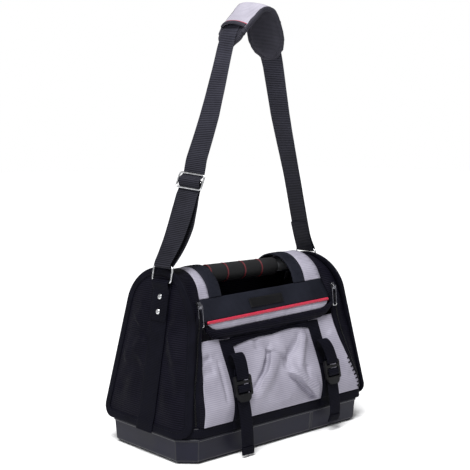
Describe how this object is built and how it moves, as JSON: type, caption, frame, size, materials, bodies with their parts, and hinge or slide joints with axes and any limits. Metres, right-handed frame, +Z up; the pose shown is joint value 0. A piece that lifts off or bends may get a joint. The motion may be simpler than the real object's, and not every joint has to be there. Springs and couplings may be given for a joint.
{
  "type": "tool bag",
  "caption": "Open-mouthed cloth tool bag on a moulded tray, with leaning stiff ends, a foam-covered bar handle, front buckle straps and a padded shoulder strap standing in a loop.",
  "frame": {"origin": "centre of the tray's underside, on the floor", "axes": "+X along the bag to the right as seen from the front, +Y to the back, +Z up; the front with the buckle straps faces -Y"},
  "size_m": [0.4174, 0.2317, 0.7089],
  "materials": {
    "black_nylon": "ribbed matt nylon",
    "black_webbing": "fine ribbed webbing and tape",
    "grey_cloth": "plain woven matt cloth",
    "red_cord": "covered piping cord",
    "tray_plastic": "fine moulded grain",
    "buckle_plastic": "smooth satin",
    "foam_grip": "soft foam with a fine skin",
    "bar_metal": "satin grey tube",
    "label_rubber": "plain moulded patch",
    "steel": "bright nickel plate"
  },
  "bodies": {
    "bag": {"base_tray": "tray_plastic", "front_hem": "black_webbing", "back_hem": "black_webbing", "end_panel_left": "black_nylon", "end_panel_right": "black_nylon", "end_binding_left": "black_webbing", "end_binding_right": "black_webbing", "end_webbing_left": "black_webbing", "end_webbing_right": "black_webbing", "ring_left": "steel", "ring_right": "steel", "rivet_left_upper": "steel", "rivet_left_lower": "steel", "rivet_right_upper": "steel", "rivet_right_lower": "steel", "front_cover": "grey_cloth", "back_cover": "grey_cloth", "front_band": "black_nylon", "back_band": "black_nylon", "label_patch": "label_rubber", "roof_strip_left": "grey_cloth", "roof_strip_right": "grey_cloth", "arch_left": "black_webbing", "arch_right": "black_webbing", "gusset_left": "black_nylon", "gusset_right": "black_nylon", "front_piping": "red_cord", "pocket_lip": "grey_cloth", "pocket_roll": "black_nylon", "handle_bar": "bar_metal", "handle_grip": "foam_grip", "zip_slider_left": "steel", "zip_slider_right": "steel", "front_webbing_left": "black_webbing", "front_webbing_right": "black_webbing", "front_loop_left": "black_webbing", "front_loop_right": "black_webbing", "front_tail_left": "black_webbing", "front_tail_right": "black_webbing", "buckle_left": "buckle_plastic", "buckle_right": "buckle_plastic", "strap_slider": "steel", "strap_slider_bar": "steel", "strap_left": "black_webbing", "strap_right": "black_webbing", "pad_base": "black_nylon", "pad_sleeve": "grey_cloth"},
    "left_pull": {"zip_pull_left": "steel"},
    "right_pull": {"zip_pull_right": "steel"}
  },
  "joints": [
    {"name": "left_pull_swing", "type": "hinge", "parent": "bag", "child": "left_pull", "pos_m": [-0.14493, -0.07067, 0.23191], "axis": [-1, 0, 0], "range_deg": [0, 150]},
    {"name": "right_pull_swing", "type": "hinge", "parent": "bag", "child": "right_pull", "pos_m": [0.15103, -0.07309, 0.23303], "axis": [-1, 0, 0], "range_deg": [0, 150]}
  ]
}
